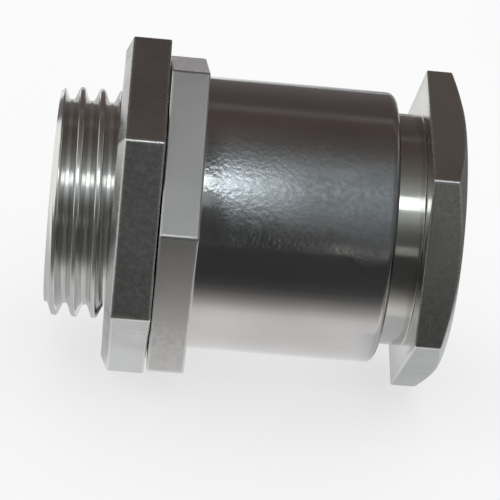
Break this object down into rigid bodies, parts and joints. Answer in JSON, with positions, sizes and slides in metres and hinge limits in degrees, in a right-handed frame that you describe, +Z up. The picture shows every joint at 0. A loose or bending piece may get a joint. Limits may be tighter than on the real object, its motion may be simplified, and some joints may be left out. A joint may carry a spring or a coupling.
{
  "type": "cable gland",
  "caption": "Nickel-plated brass cable gland: threaded entry spigot, hexagonal lock nut and collar, plain round barrel with a rubber seal inside, and a hexagonal compression nut.",
  "frame": {"origin": "centre of the bounding box at its base, on the surface that the gland lies on", "axes": "+X along the gland's axis from the threaded entry to the compression nut, +Z up"},
  "size_m": [0.0362, 0.0302, 0.0301],
  "materials": {
    "satin_nickel": "satin nickel plate on brass, polished on the barrel",
    "dark_nickel": "dark polished nickel plate on brass",
    "dull_nickel": "dull nickel plate on brass",
    "bare_brass": "bare brass, as stamped",
    "black_rubber": "matt moulded rubber"
  },
  "bodies": {
    "gland_body": {"gland_body": "satin_nickel", "inner_washer": "bare_brass", "sealing_ring": "black_rubber"},
    "lock_nut": {"lock_nut": "dark_nickel"},
    "thrust_washer": {"outer_washer": "bare_brass"},
    "compression_nut": {"compression_nut": "dull_nickel"}
  },
  "joints": [
    {"name": "lock_nut_travel", "type": "slide", "parent": "gland_body", "child": "lock_nut", "axis": [-1, 0, 0], "range_m": [0, 0.0052]},
    {"name": "washer_travel", "type": "slide", "parent": "gland_body", "child": "thrust_washer", "axis": [1, 0, 0], "range_m": [-0.00221, 0.00151], "deforming": ["sealing_ring"]},
    {"name": "compression_nut_turn", "type": "hinge", "parent": "thrust_washer", "child": "compression_nut", "pos_m": [0.01477, 0, 0.01506], "axis": [1, 0, 0], "range_deg": [-528, 360]}
  ],
  "couplings": [
    {"joint": "washer_travel", "follows": "compression_nut_turn", "m_per_rad": 0.00023873}
  ]
}
